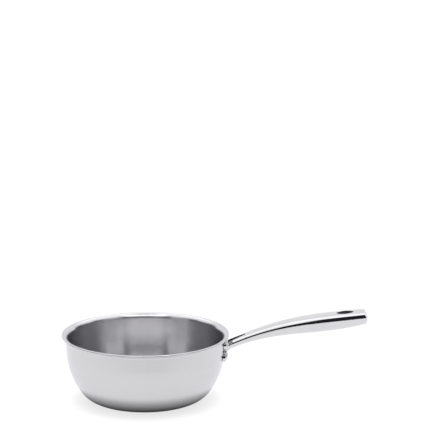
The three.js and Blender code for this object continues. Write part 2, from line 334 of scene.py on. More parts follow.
class SurfaceMarks:
    """Node groups that several finishes share, each built once."""

    finer_smears = 3.7
    smear_range = (0.16, 0.42)

    def __init__(self) -> None:
        """Builds the groups."""
        self.rings = self._rings()
        self.smears = self._smears()

    @staticmethod
    def _start(name: str, inputs: dict[str, float], output: str) -> tuple[Graph, bpy.types.Node]:
        """An empty group with float inputs and one float output.

        Args:
            name: Name of the group.
            inputs: Default value of each input.
            output: Name of the output.

        Returns:
            The graph and its input node.
        """
        tree = bpy.data.node_groups.new(name, "ShaderNodeTree")
        for key, value in inputs.items():
            socket = tree.interface.new_socket(key, in_out="INPUT", socket_type="NodeSocketFloat")
            socket.default_value = value
        tree.interface.new_socket(output, in_out="OUTPUT", socket_type="NodeSocketFloat")
        graph = Graph(tree)
        return graph, graph.node("NodeGroupInput")

    def _rings(self) -> bpy.types.NodeTree:
        """Brush marks round the bowl.

        Noise on (x * drift, y * drift, (z + radius) * lines): z + radius grows steadily from the middle
        of the base out and up to the lip, so the marks run in circles on the base and level round the wall.

        Returns:
            The group, whose output is the mark from 0 to 1.
        """
        graph, inputs = self._start("Ring brushing", {"Lines": 900.0, "Drift": 14.0}, "Mark")
        place = graph.node("SeparateXYZ", {0: graph.node("TexCoord").outputs["Object"]})
        x, y, z = place.outputs
        squares = (graph.math("MULTIPLY", side, side) for side in (x, y))
        radius = graph.math("SQRT", graph.math("ADD", *squares))
        climb = graph.math("MULTIPLY", graph.math("ADD", z, radius), inputs.outputs["Lines"])
        sideways = graph.math("MULTIPLY", x, inputs.outputs["Drift"])
        depthways = graph.math("MULTIPLY", y, inputs.outputs["Drift"])
        spot = graph.node("CombineXYZ", {0: sideways, 1: depthways, 2: climb}).outputs[0]
        noise = graph.node("TexNoise", {"Vector": spot, "Scale": 1.0, "Detail": 5.0, "Roughness": 0.65})
        graph.node("NodeGroupOutput", {"Mark": noise.outputs["Fac"]})
        return graph.tree

    def _smears(self) -> bpy.types.NodeTree:
        """Cloudy marks of wiping and handling: two sizes of noise, multiplied.

        Returns:
            The group, whose output is the smear from 0 to 1.
        """
        graph, inputs = self._start("Smears", {"Size": 25.0, "Amount": 1.0}, "Smear")
        spot = graph.node("TexCoord").outputs["Object"]
        broad = graph.node("TexNoise", {"Vector": spot, "Scale": inputs.outputs["Size"], "Detail": 3.0})
        finer = graph.math("MULTIPLY", inputs.outputs["Size"], self.finer_smears)
        settings = {"Vector": spot, "Scale": finer, "Detail": 5.0, "Distortion": 0.6}
        small = graph.node("TexNoise", settings)
        both = graph.math("MULTIPLY", broad.outputs["Fac"], small.outputs["Fac"])
        smear = graph.ramp(both, *self.smear_range, 0.0, inputs.outputs["Amount"])
        graph.node("NodeGroupOutput", {"Smear": smear})
        return graph.tree


@dataclass(frozen=True)
class BrushedSteel:
    """Steel brushed round the bowl's axis, so that its highlights stretch up and down the wall."""

    name: str
    dark: float
    light: float
    roughness: float
    roughness_spread: float
    anisotropy: float
    lines: float
    bump: float
    edge: float
    broad_lines: float = 0.2
    broad_drift: float = 4.0
    fine_share: float = 0.6
    mark_range: tuple[float, float] = (0.3, 0.7)
    mark_depth: float = 0.00003
    quarter_turn: float = 0.25

    def material(self, marks: SurfaceMarks) -> bpy.types.Material:
        """Builds the material.

        Args:
            marks: The shared groups.

        Returns:
            The material.
        """
        made, graph = new_material(self.name)
        fine = graph.node("Group", {"Lines": self.lines}, node_tree=marks.rings)
        wide = {"Lines": self.lines * self.broad_lines, "Drift": self.broad_drift}
        broad = graph.node("Group", wide, node_tree=marks.rings)
        smear = graph.node("Group", node_tree=marks.smears)
        fine_mark = graph.math("MULTIPLY", fine.outputs[0], self.fine_share)
        broad_mark = graph.math("MULTIPLY", broad.outputs[0], 1 - self.fine_share)
        mark = graph.math("ADD", fine_mark, broad_mark)
        tone = graph.ramp(mark, *self.mark_range)
        spread = self.roughness_spread
        grain = graph.ramp(mark, *self.mark_range, self.roughness - spread, self.roughness + spread)
        wiped = graph.math("MULTIPLY", smear.outputs[0], spread / 2)
        bump = graph.node("Bump", {"Strength": self.bump, "Distance": self.mark_depth, "Height": mark})
        tangent = graph.node("Tangent", direction_type="RADIAL", axis="Z")
        steel = graph.node("BsdfPrincipled", {
            "Base Color": graph.blend(tone, tinted(self.dark), tinted(self.light)),
            "Metallic": 1.0,
            "Roughness": graph.math("ADD", grain, wiped),
            "Specular Tint": tinted(self.edge),
            "Anisotropic": self.anisotropy,
            "Anisotropic Rotation": self.quarter_turn,
            "Normal": bump.outputs[0],
            "Tangent": tangent.outputs[0],
        })
        graph.node("OutputMaterial", {0: steel.outputs[0]})
        return made


@dataclass(frozen=True)
class PolishedMetal:
    """Metal without brush marks, from mirror to dull by its roughness, with faint smears."""

    name: str
    tone: float
    roughness: float
    smear: float
    smear_size: float = 38.0
    handled: float = 0.96

    def material(self, marks: SurfaceMarks) -> bpy.types.Material:
        """Builds the material.

        Args:
            marks: The shared groups.

        Returns:
            The material.
        """
        made, graph = new_material(self.name)
        smear = graph.node("Group", {"Size": self.smear_size}, node_tree=marks.smears).outputs[0]
        rough = graph.ramp(smear, 0.0, 1.0, self.roughness, self.roughness + self.smear)
        colour = graph.blend(smear, tinted(self.tone), tinted(self.handled * self.tone))
        steel = graph.node("BsdfPrincipled", {"Base Color": colour, "Metallic": 1.0, "Roughness": rough})
        graph.node("OutputMaterial", {0: steel.outputs[0]})
        return made


@dataclass(frozen=True)
class Bowl:
    """The clad bowl: three plies on one profile of flat base, corner arc, side arc, wall, flare and lip."""

    wall_radius: float = 0.0987
    wall_straight: float = 0.015
    wall_lean: float = 2.6
    side_radius: float = 0.091
    corner_radius: float = 0.031
    corner_turn: float = 54.0
    flare_radius: float = 0.004
    lip_rise: float = 8.0
    lip_length: float = 0.0019
    skin: float = 0.0005
    core: float = 0.0015
    bond_gap: float = 0.00002
    edge_dome: float = 0.001
    core_sunk: float = 0.00005
    sides: int = 224
    base_rings: int = 17
    arc_steps: int = 26
    wall_rings: int = 7
    flare_steps: int = 20
    lip_rings: int = 5
    edge_rings: int = 9
    drawn_lip: tuple[float, ...] = (0.25, 0.5, 0.75)

    @property
    def sheet(self) -> float:
        """Thickness of the three plies together."""
        return 2 * self.skin + self.core + 2 * self.bond_gap

    @property
    def wall_turn(self) -> float:
        """Turn of the straight wall from level, in radians."""
        return math.radians(90 - self.wall_lean)

    @property
    def base_radius(self) -> float:
        """Radius of the flat base, left over by the arcs and the lean of the wall."""
        turn = math.radians(self.corner_turn)
        side = self.side_radius * (math.sin(self.wall_turn) - math.sin(turn))
        corner = self.corner_radius * math.sin(turn)
        return self.wall_radius - self.wall_straight * math.cos(self.wall_turn) - side - corner

    @property
    def side_centre(self) -> tuple[float, float]:
        """Centre of the side's large arc, on the line through the corner's centre where they meet."""
        turn = math.radians(self.corner_turn)
        apart = self.corner_radius - self.side_radius
        return self.base_radius + apart * math.sin(turn), self.corner_radius - apart * math.cos(turn)

    def curve(self, depth: float) -> np.ndarray:
        """Profile of the sheet at a depth inside its outer face, from the axis to the lip.

        Args:
            depth: Depth inside the outer face.

        Returns:
            Array of (radius, height) points.
        """
        corner_turn, lip_rise = math.radians(self.corner_turn), math.radians(self.lip_rise)
        corner_centre, steps = (self.base_radius, self.corner_radius), self.arc_steps
        flat = np.linspace(0, self.base_radius, self.base_rings)
        base = np.stack([flat, np.full(self.base_rings, depth)], -1)
        corner = arc(corner_centre, self.corner_radius - depth, 0, corner_turn, steps)
        side = arc(self.side_centre, self.side_radius - depth, corner_turn, self.wall_turn, steps)
        climb = direction(self.wall_turn) * self.wall_straight
        wall = side[-1] + climb * np.linspace(0, 1, self.wall_rings)[:, None]
        outer_foot = arc(self.side_centre, self.side_radius, self.wall_turn, self.wall_turn, 0)[0]
        outer_top = tuple(outer_foot + climb)
        centre = arc(outer_top, self.flare_radius, self.wall_turn, self.wall_turn, 0)[0]
        flare = arc(tuple(centre), -self.flare_radius - depth, self.wall_turn, lip_rise, self.flare_steps)
        outward = direction(lip_rise) * self.lip_length
        lip = flare[-1] + outward * np.linspace(0, 1, self.lip_rings)[:, None]
        return np.concatenate([base, corner[1:], side[1:], wall[1:], flare[1:], lip[1:]])

    @property
    def rim_height(self) -> float:
        """Height of the top of the lip."""
        return float(self.curve(self.sheet)[-1, 1])

    def radius_at(self, height: np.ndarray, offset: float = 0.0) -> np.ndarray:
        """Radius of the bowl's side at a height, for a face that stands off the outer face.

        Above the side arc the wall is straight. Below, the radius is that of the arc's centre plus the root
        of the arc's grown radius squared less the drop from the centre squared.

        Args:
            height: Heights.
            offset: Distance outside the outer face.

        Returns:
            Radii.
        """
        centre, level = self.side_centre
        reach = self.side_radius + offset
        foot = level - reach * math.cos(self.wall_turn)
        straight = centre + reach * math.sin(self.wall_turn) + (height - foot) / math.tan(self.wall_turn)
        drop = np.minimum(level - height, reach)
        round_side = centre + np.sqrt(np.maximum(reach**2 - drop**2, 0))
        return np.where(height >= foot, straight, round_side)

    def ply(self, outer: float, thickness: float, sunk: float = 0.0) -> np.ndarray:
        """Closed profile of one ply, whose end follows the lip's domed edge.

        The edge is half an ellipse across the sheet, so a point at a share d of the sheet's depth stands
        back from its crown by edge_dome * (1 - sqrt(1 - (2 d - 1) ** 2)). The lip's rings before the end
        are drawn back with it, by growing shares.

        Args:
            outer: Depth of its outer face.
            thickness: Its thickness.
            sunk: How much further its end stands back.

        Returns:
            Array of (radius, height) points from the axis round the lip and back.
        """
        outward = direction(math.radians(self.lip_rise))
        first, second = self.curve(outer), self.curve(outer + thickness)
        share = np.linspace(0, 1, self.edge_rings)[:, None]
        depth = (outer + thickness * share) / self.sheet
        back = self.edge_dome * (1 - np.sqrt(np.maximum(1 - (2 * depth - 1) ** 2, 0))) + sunk
        edge = first[-1] + (second[-1] - first[-1]) * share - outward * back
        drawn = np.array(self.drawn_lip)[:, None]
        lip = slice(-1 - len(drawn), -1)
        first[lip] -= outward * back[0] * drawn
        second[lip] -= outward * back[-1] * drawn
        return np.concatenate([first[:-1], edge, second[-2::-1]])

    def build(self, finishes: "Finishes") -> None:
        """Makes the three plies.

        Args:
            finishes: The materials.
        """
        core_depth = self.skin + self.bond_gap
        inner_depth = core_depth + self.core + self.bond_gap
        plies = (
            ("outer_skin", self.ply(0.0, self.skin), finishes.outer, Slot.OUTER, "induction_skin"),
            ("core_sheet", self.ply(core_depth, self.core, self.core_sunk),
             finishes.core, Slot.CORE, "aluminium_core"),
            ("inner_skin", self.ply(inner_depth, self.skin), finishes.inner, Slot.INNER, "cooking_skin"),
        )
        for name, profile, finish, slot, node in plies:
            dress(make_piece(name, *lathe(profile, self.sides)), finish, node)


@dataclass(frozen=True)
class Section:
    """Sizes of the handle's section: its width, and its height above and below the shoulders."""

    width: float
    crown: float
    belly: float


@dataclass
class HandleForm:
    """The outside of the handle: superellipse sections that stand square to a curved spine."""

    root: tuple[float, float]
    reach: float = 0.172
    rise: float = 0.037
    root_slope: float = 24.0
    end_slope: float = 5.7
    root_tangent: float = 0.066
    end_tangent: float = 0.075
    palm_from_end: float = 0.051
    shank: Section = Section(0.021, 0.0041, 0.0056)
    palm: Section = Section(0.035, 0.0064, 0.0142)
    end: Section = Section(0.032, 0.006, 0.010)
    spine_steps: int = 2000
    _travel: np.ndarray = field(init=False, repr=False)
    _share: np.ndarray = field(init=False, repr=False)

    def __post_init__(self) -> None:
        """Measures the spine, so that it can be read by distance."""
        self._share = np.linspace(0, 1, self.spine_steps + 1)
        steps = np.diff(self._bezier(self._share)[0], axis=0)
        self._travel = np.concatenate([[0.0], np.cumsum(np.hypot(steps[:, 0], steps[:, 1]))])

    @property
    def length(self) -> float:
        """Length of the spine."""
        return float(self._travel[-1])

    def _bezier(self, share: np.ndarray) -> tuple[np.ndarray, np.ndarray]:
        """The cubic Bezier curve through the spine's four control points, in (x, z).

        Args:
            share: Curve parameter from 0 to 1.

        Returns:
            Points, and the directions of travel there.
        """
        first = np.array(self.root)
        last = first + np.array([self.reach, self.rise])
        second = first + self.root_tangent * direction(math.radians(self.root_slope))
        third = last - self.end_tangent * direction(math.radians(self.end_slope))
        t = share[..., None]
        travel = bezier(t, second - first, third - second, last - third)
        return bezier(t, first, second, third, last), travel

    def sizes(self, distance: np.ndarray) -> tuple[np.ndarray, np.ndarray, np.ndarray]:
        """Half width, crown and belly at distances from the root.

        Each eases by a smooth step from the shank to the palm, then by a square to the end.

        Args:
            distance: Distances along the spine.

        Returns:
            Half widths, crowns and bellies.
        """
        palm = self.length - self.palm_from_end
        share = np.clip(distance / palm, 0, 1)
        grow = share**2 * (3 - 2 * share)
        fade = (np.maximum(distance - palm, 0) / self.palm_from_end) ** 2

        def swell(shank: float, middle: float, end: float) -> np.ndarray:
            """One size along the handle."""
            return shank + (middle - shank) * grow + (end - middle) * fade

        return (
            swell(self.shank.width, self.palm.width, self.end.width) / 2,
            swell(self.shank.crown, self.palm.crown, self.end.crown),
            swell(self.shank.belly, self.palm.belly, self.end.belly),
        )

    def place(self, distance: np.ndarray, across: np.ndarray, up: np.ndarray) -> np.ndarray:
        """Points at a distance along the spine, across it and square up from it.

        Args:
            distance: Distances from the root; past an end the spine runs on straight.
            across: Distances along +Y.
            up: Distances along the spine's normal.

        Returns:
            Array of points with (x, y, z) on its last axis.
        """
        distance, across, up = np.broadcast_arrays(distance, across, up)
        held = np.clip(distance, 0, self.length)
        point, slope = self._bezier(np.interp(held, self._travel, self._share))
        slope = slope / np.linalg.norm(slope, axis=-1, keepdims=True)
        point = point + slope * (distance - held)[..., None]
        x = point[..., 0] - slope[..., 1] * up
        z = point[..., 1] + slope[..., 0] * up
        return np.stack([x, across, z], -1)

    def height(self, half: Half, distance: np.ndarray, across: np.ndarray) -> np.ndarray:
        """Height of a half's outer face over the shoulders.

        It is the half's full height * (1 - |across / half width| ** power) ** (1 / power).

        Args:
            half: Which half.
            distance: Distances from the root.
            across: Distances across.

        Returns:
            Heights, positive away from the shoulders.
        """
        half_width, crown, belly = self.sizes(distance)
        tall = crown if half is Half.CROWN else belly
        return tall * np.maximum(1 - np.abs(across / half_width) ** half.power, 0) ** (1 / half.power)


@dataclass(frozen=True)
class HangingHole:
    """The oval hole near the handle's end: the roll of the grip into it and the sleeve that lines it."""

    form: HandleForm
    from_end: float = 0.026
    length: float = 0.021
    width: float = 0.014
    roll: float = 0.0004
    sleeve: float = 0.0012
    points: int = 120
    sleeve_rings: int = 9

    @property
    def distance(self) -> float:
        """Distance of the hole's centre from the root."""
        return self.form.length - self.from_end

    def oval(self, bearing: np.ndarray, grown: float | np.ndarray) -> tuple[np.ndarray, np.ndarray]:
        """Points of the hole's ellipse, grown by a margin.

        Args:
            bearing: Angle parameter of the ellipse.
            grown: Margin added to both half axes.

        Returns:
            Distances from the root and distances across.
        """
        along = (self.length / 2 + grown) * np.cos(bearing)
        return self.distance + along, (self.width / 2 + grown) * np.sin(bearing)

    def rings(self, half: Half, bearing: np.ndarray, turns: np.ndarray) -> np.ndarray:
        """Rings of the roll from the grip's face into the hole, a quarter round of the roll's radius.

        Args:
            half: Which half of the grip.
            bearing: Angle parameters round the hole.
            turns: Turn of each ring, from 0 at the face to a right angle in the hole.

        Returns:
            Array of (rings, bearings, 3) points.
        """
        turn = turns[:, None]
        along, across = self.oval(bearing[None, :], self.roll * (1 - np.sin(turn)))
        drop = self.roll * (1 - np.cos(turn))
        up = self.form.height(half, along, across) - drop
        return self.form.place(along, across, half.sign * up)

    def build(self, finishes: "Finishes") -> None:
        """Makes the sleeve: its bore joins the two rolls, and its outside stands off by its wall.

        Args:
            finishes: The materials.
        """
        bearing = np.linspace(0, 2 * math.pi, self.points, endpoint=False)
        share = np.linspace(0, 1, self.sleeve_rings)[:, None]
        loops = []
        for grown, way in ((0.0, share), (self.sleeve, share[::-1])):
            along, across = self.oval(bearing, grown)
            top = self.form.height(Half.CROWN, along, across) - self.roll - grown
            low = -self.form.height(Half.BELLY, along, across) + self.roll + grown
            loops.append(self.form.place(along[None, :], across[None, :], top + (low - top) * way))
        points = np.concatenate(loops)
        faces = grid_faces(len(points), self.points, wrap_rows=True, wrap_columns=True)
        piece = make_piece("hole_sleeve", points.reshape(-1, 3), faces.reshape(-1, 4))
        # The sleeve's dark tone is painted shade inside the hole.
        dress(piece, finishes.lining, "hanging_eyelet")


@dataclass(frozen=True)
class Grip:
    """The hollow grip: two pressed halves that meet along the shoulders."""

    form: HandleForm
    hole: HangingHole
    start: float = 0.02504
    wall: float = 0.0012
    rolled_wall: float = 0.0002
    seam: float = 0.00003
    short: float = 0.00003
    end_round: float = 0.0026
    rows: int = 170
    end_rows: int = 12
    cap_rows: int = 6
    columns: int = 64
    patch_margin: float = 0.0034
    patch_rings: int = 7
    roll_rings: int = 6
    measure_points: int = 4001

    def turns(self, half: Half) -> np.ndarray:
        """Normal angles of the columns, spaced by the palm's length of outline plus how far it turns.

        Args:
            half: Which half.

        Returns:
            Angles from 0 to pi.
        """
        palm = self.form.palm
        tall = palm.crown if half is Half.CROWN else palm.belly
        fine = math.pi * (1 - np.cos(np.linspace(0, math.pi, self.measure_points))) / 2
        outline = superellipse(fine, palm.width / 2, tall, half.power)
        step = np.linalg.norm(np.diff(outline, axis=0), axis=-1)
        measure = np.concatenate([[0.0], np.cumsum(step / step.sum() + np.diff(fine) / math.pi)])
        return np.interp(np.linspace(0, measure[-1], self.columns), measure, fine)

    def stations(self) -> tuple[np.ndarray, np.ndarray, np.ndarray]:
        """Rows along the grip: even ones, a quarter round at the end, and a flat cap down to its middle.

        Returns:
            Distance from the root, inset and scale of each row.
        """
        length = self.form.length - self.short
        body = np.linspace(self.start, length - self.end_round, self.rows)
        turn = np.linspace(0, math.pi / 2, self.end_rows + 1)[1:]
        scale = np.linspace(1, 0, self.cap_rows + 1)[1:]
        rounded = length - self.end_round * (1 - np.sin(turn))
        distance = np.concatenate([body, rounded, np.full(len(scale), length)])
        drawn = self.end_round * (1 - np.cos(turn))
        inset = np.concatenate([np.zeros(len(body)), drawn, np.full(len(scale), self.end_round)])
        return distance, inset, np.concatenate([np.ones(len(body) + len(turn)), scale])

    def net(self, half: Half) -> tuple[np.ndarray, np.ndarray, np.ndarray]:
        """Outer face of one half, with its hole.

        A block of the net round the hole is left out, and rings from its edge to the hole's roll fill it.

        Args:
            half: Which half.

        Returns:
            Points, outward faces, and the wall at each point, which thins out along the roll.
        """
        distance, inset, scale = self.stations()
        half_width, crown, belly = self.form.sizes(distance)
        tall = crown if half is Half.CROWN else belly
        turns = self.turns(half)[None, :]
        outline = superellipse(turns, (half_width - inset)[:, None], (tall - inset)[:, None], half.power)
        across = outline[..., 0] * scale[:, None]
        up = outline[..., 1] * scale[:, None] + self.seam
        points = self.form.place(distance[:, None], across, half.sign * up)
        faces = grid_faces(*points.shape[:2])

        reach = self.hole.length / 2 + self.patch_margin
        near = np.flatnonzero(np.abs(distance - self.hole.distance) < reach)
        row_low, row_high = near[0], near[-1]
        middle = across[(row_low + row_high) // 2]
        inside = np.flatnonzero(np.abs(middle) < self.hole.width / 2 + self.patch_margin)
        low, high = inside[0], inside[-1]
        keep = np.ones(faces.shape[:2], bool)
        keep[row_low:row_high, low:high] = False

        down = np.arange(row_low, row_high)
        over = np.arange(low, high)
        first, last = np.full(len(over), row_low), np.full(len(over), row_high)
        left, right = np.full(len(down), low), np.full(len(down), high)
        loop_row = np.concatenate([first, down, last, down[::-1] + 1])
        loop_column = np.concatenate([over, right, over[::-1] + 1, left])
        from_centre = distance[loop_row] - self.hole.distance
        loop_across = across[loop_row, loop_column]
        bearing = np.arctan2(loop_across / self.hole.width, from_centre / self.hole.length)
        rim_along, rim_across = self.hole.oval(bearing, self.hole.roll)
        share = np.linspace(0, 1, self.patch_rings + 1)[1:-1, None]
        patch_along = distance[loop_row] + (rim_along - distance[loop_row]) * share
        patch_across = loop_across + (rim_across - loop_across) * share
        patch_up = self.form.height(half, patch_along, patch_across) + self.seam
        patch = self.form.place(patch_along, patch_across, half.sign * patch_up)
        roll = self.hole.rings(half, bearing, np.linspace(0, math.pi / 2, self.roll_rings + 1))
        rings = np.concatenate([patch, roll])

        count = len(loop_row)
        offset = points.shape[0] * points.shape[1]
        loop = loop_row * points.shape[1] + loop_column
        ring_faces = grid_faces(len(rings) + 1, count, wrap_columns=True).reshape(-1, 4)
        numbers = np.concatenate([loop, offset + np.arange(len(rings) * count)])
        all_faces = np.concatenate([faces[keep], numbers[ring_faces]])[:, ::half.sign]
        thin = np.repeat(np.linspace(self.wall, self.rolled_wall, len(roll)), count)
        wall = np.concatenate([np.full(offset + patch.shape[0] * count, self.wall), thin])
        return np.concatenate([points.reshape(-1, 3), rings.reshape(-1, 3)]), all_faces, wall

    def build(self, finishes: "Finishes") -> None:
        """Makes both halves and gives them their wall.

        Args:
            finishes: The materials.
        """
        names = (
            (Half.CROWN, "grip_crown", "handle_upper_shell"),
            (Half.BELLY, "grip_belly", "handle_lower_shell"),
        )
        for half, name, node in names:
            piece = make_piece(name, *walled(*self.net(half)))
            dress(piece, finishes.polished, node)


@dataclass(frozen=True)
class Foot:
    """The cast foot: an hourglass plate on the wall, a grooved shank out of it, and a hidden tang."""

    form: HandleForm
    bowl: Bowl
    gap: float = 0.0003
    thickness: float = 0.0035
    below_rim: float = 0.0085
    tall: float = 0.024
    top_width: float = 0.038
    neck_width: float = 0.030
    lobe_width: float = 0.043
    corner: float = 0.0045
    rivet_above_end: float = 0.0065
    edge_round: float = 0.0012
    shank_length: float = 0.025
    shank_edge: float = 0.0001
    fillet_start: float = 0.004
    fillet_spread: float = 0.42
    groove_at_plate: float = 0.85
    tang_length: float = 0.020
    tang_inset: float = 0.0015
    groove_root: float = 0.0064
    groove_end: float = 0.002
    sides: int = 180
    groove_sides: int = 40
    groove_fillet: int = 6
    curve_points: int = 24
    outline_finer: int = 20
    tang_steps: int = 6
    end_steps: int = 4
    shank_steps: int = 21
    fillet_steps: int = 12
    face_steps: int = 6
    rim_steps: int = 6
    back_steps: int = 7

    @property
    def top(self) -> float:
        """Height of the plate's top."""
        return self.bowl.rim_height - self.below_rim

    def outline(self) -> np.ndarray:
        """The plate's hourglass outline: straight ends, round corners and a waist of two Bezier curves.

        Returns:
            Array of (across, height) points, closed and anticlockwise seen along -X.
        """
        end = self.top - self.tall
        rivet = end + self.rivet_above_end
        waist = end + 2 * self.rivet_above_end
        top, neck, lobe = self.top_width / 2, self.neck_width / 2, self.lobe_width / 2
        t = np.linspace(0, 1, self.curve_points)[:, None]
        corner, high = self.corner, self.top
        lobe_end, top_end = (lobe, end + corner), (top, high - corner)
        right = np.concatenate([
            bezier(t, (lobe - corner, end), (lobe, end), lobe_end),
            bezier(t, lobe_end, (lobe, rivet + corner), (neck, rivet + corner / 2), (neck, waist)),
            bezier(t, (neck, waist), (neck, waist + corner / 2), (top, waist), top_end),
            bezier(t, top_end, (top, high), (top - corner, high)),
        ])
        return np.concatenate([right, right[::-1] * np.array([-1, 1])])

    def outline_reach(self, bearing: np.ndarray, centre: float) -> np.ndarray:
        """Distance from a point on the plate to its outline, by bearing.

        Args:
            bearing: Angles from +Y towards +Z, rising.
            centre: Height of the point.

        Returns:
            Distances.
        """
        edge = self.outline() - np.array([0.0, centre])
        fine = np.concatenate([edge, edge[:1]])
        share = np.linspace(0, len(edge), self.outline_finer * len(edge), endpoint=False)
        across, up = (np.interp(share, np.arange(len(fine)), fine[:, axis]) for axis in (0, 1))
        angle, reach = np.arctan2(up, across), np.hypot(across, up)
        order = np.argsort(angle)
        return np.interp(bearing, angle[order], reach[order], period=2 * math.pi)

    def ring(self, distance: np.ndarray, inset: np.ndarray, deep: np.ndarray) -> np.ndarray:
        """Rings of the shank or tang: round below from edge to edge of the groove, then across the groove.

        The superellipse in polar form has the reach
        (|cos / half width| ** power + |sin / height| ** power) ** (-1 / power).
        The groove's half width narrows evenly along the shank. Where across = half width * cos turn, it
        lies half width * sin turn * deep below the crown, which is a half round where deep is 1.

        Args:
            distance: Distance of each ring from the root.
            inset: Inset of each ring.
            deep: Share of the groove's full depth at each ring.

        Returns:
            Array of (rings, columns, 3) points.
        """
        half_width, crown, belly = (size[:, None] - inset[:, None] for size in self.form.sizes(distance))
        along = np.minimum(distance / self.shank_length, 1)[:, None]
        groove = self.groove_root + (self.groove_end - self.groove_root) * along
        over, under = Half.CROWN.power, Half.BELLY.power

        def top(across: np.ndarray) -> np.ndarray:
            """Height of the crown."""
            return crown * (1 - (np.abs(across) / half_width) ** over) ** (1 / over)

        edge = np.arctan2(top(groove), groove)
        bearing = math.pi - edge + (math.pi + 2 * edge) * np.linspace(0, 1, self.sides)
        cos, sin = np.cos(bearing), np.sin(bearing)
        tall, power = np.where(sin >= 0, crown, belly), np.where(sin >= 0, over, under)
        reach = ((np.abs(cos) / half_width) ** power + (np.abs(sin) / tall) ** power) ** (-1 / power)
        turn = np.linspace(0, math.pi, self.groove_sides + 2)[1:-1]
        hollow = groove * np.cos(turn)
        sunk = top(hollow) - deep[:, None] * groove * np.sin(turn)
        across = np.concatenate([reach * cos, hollow], axis=1)
        up = np.concatenate([reach * sin, sunk], axis=1)
        return self.form.place(distance[:, None], across, up)

    def on_plate(self, across: np.ndarray, height: np.ndarray, offset: np.ndarray) -> np.ndarray:
        """Points on a face that stands off the bowl's wall."""
        radius = self.bowl.radius_at(height, offset)
        return np.stack([np.sqrt(radius**2 - across**2), across, height], -1)

    def net(self) -> tuple[np.ndarray, np.ndarray, np.ndarray]:
        """Rings from the tang's end down the shank, over the fillet and the plate, and round to its back.

        Returns:
            Points, faces, and the number of each face's material: 1 along the groove, which gets a dark
            painted shade, 0 elsewhere.
        """
        shank_end = self.shank_length
        tang_far = shank_end + self.tang_length
        tang = np.linspace(tang_far, shank_end, self.tang_steps)
        tang_rings = self.ring(tang, np.full(len(tang), self.tang_inset), np.zeros(len(tang)))
        columns = tang_rings.shape[1]
        middle = self.form.place(np.array(tang_far), np.array(0.0), np.array(0.0))
        tip = np.broadcast_to(middle, (1, columns, 3))

        turn = np.linspace(math.pi / 2, 0, self.end_steps)
        rounded = shank_end - self.shank_edge * (1 - np.sin(turn))
        plain = np.linspace(shank_end - self.shank_edge, self.fillet_start, self.shank_steps + 1)[1:]
        along = np.concatenate([rounded, plain])
        inset = np.concatenate([self.shank_edge * (1 - np.cos(turn)), np.zeros(len(plain))])
        shank_rings = self.ring(along, inset, np.ones(len(along)))

        seat = self.gap + self.thickness
        centre = self.form.root[1]
        zero = np.zeros(1)
        flat = self.ring(zero, zero, zero)[0]
        bearing = np.arctan2(flat[:, 2] - centre, flat[:, 1])
        reach = self.outline_reach(bearing, centre)
        root_ring = self.ring(zero, zero, np.array([self.groove_at_plate]))[0]
        flat_reach = np.hypot(flat[:, 1], flat[:, 2] - centre)
        spread = flat_reach + (reach - self.edge_round - flat_reach) * self.fillet_spread
        foot_across, foot_height = spread * np.cos(bearing), centre + spread * np.sin(bearing)
        bend = self.on_plate(root_ring[:, 1], root_ring[:, 2], seat)
        landing = self.on_plate(foot_across, foot_height, seat)
        t = np.linspace(0, 1, self.fillet_steps + 1)[1:, None, None]
        fillet = bezier(t, shank_rings[-1], bend, landing)

        out = np.linspace(0, 1, self.face_steps + 1)[1:, None]
        wide = spread + (reach - self.edge_round - spread) * out
        face = self.on_plate(wide * np.cos(bearing), centre + wide * np.sin(bearing), seat)
        turn = np.linspace(0, math.pi / 2, self.rim_steps + 1)[1:, None]
        wide = reach - self.edge_round * (1 - np.sin(turn))
        offset = seat - self.edge_round * (1 - np.cos(turn))
        rim = self.on_plate(wide * np.cos(bearing), centre + wide * np.sin(bearing), offset)
        inward = np.linspace(1, 0, self.back_steps + 1)
        half_back = (self.gap + seat - self.edge_round) / 2
        offset = np.concatenate([[half_back], np.full(len(inward), self.gap)])[:, None]
        wide = reach * np.concatenate([[1.0], inward])[:, None]
        rear = self.on_plate(wide * np.cos(bearing), centre + wide * np.sin(bearing), offset)

        rings = np.concatenate([tip, tang_rings, shank_rings, fillet, face, rim, rear])
        faces = grid_faces(len(rings), columns, wrap_columns=True).reshape(-1, 4)
        ring, column = faces.min(axis=1) // columns, faces.max(axis=1) % columns
        first = 1 + len(tang_rings)
        # Faces along the groove get the dark material: painted shade in the recess.
        painted_groove_shade = (ring >= first) & (ring < first + len(shank_rings) + self.groove_fillet)
        return rings.reshape(-1, 3), faces, (painted_groove_shade & (column >= self.sides)).astype(np.int32)

    def build(self, finishes: "Finishes") -> None:
        """Makes the foot.

        Args:
            finishes: The materials.
        """
        piece = make_piece("cast_foot", *self.net())
        dress(piece, finishes.polished, "handle_foot")
        # The groove's second material is a dark tone that stands for shade in the recess: painted shade.
        piece.data.materials.append(finishes.groove)


